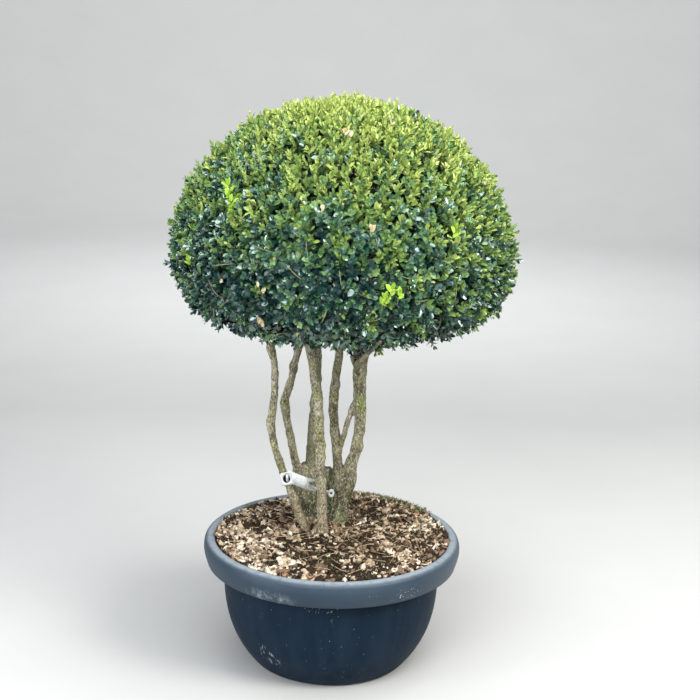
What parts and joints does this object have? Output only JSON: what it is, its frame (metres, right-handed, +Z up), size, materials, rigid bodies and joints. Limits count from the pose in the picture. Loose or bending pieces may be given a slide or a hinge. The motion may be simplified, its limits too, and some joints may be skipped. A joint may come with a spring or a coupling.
{
  "type": "potted boxwood ball",
  "caption": "Boxwood clipped to a flattened ball on bare branching stems, in a round bowl pot topped with bark mulch.",
  "frame": {"origin": "the middle of the pot's flat underside, on the surface that it stands on", "axes": "+Z up along the pot's axis, -Y towards the viewer of the picture, +X to that viewer's right"},
  "size_m": [0.7721, 0.7727, 1.3198],
  "materials": {
    "pot_plastic": "satin",
    "bark_mulch": "matt",
    "stem_bark": "matt",
    "tag_plastic": "satin",
    "leaves": "satin"
  },
  "bodies": {
    "root": {"pot": "pot_plastic", "soil": "bark_mulch", "stump": "stem_bark", "stem_far_left": "stem_bark", "stem_left": "stem_bark", "stem_front": "stem_bark", "stem_back": "stem_bark", "stem_middle": "stem_bark", "stem_right": "stem_bark", "stem_fork": "stem_bark", "plant_tag": "tag_plastic", "foliage": "leaves"}
  },
  "joints": []
}
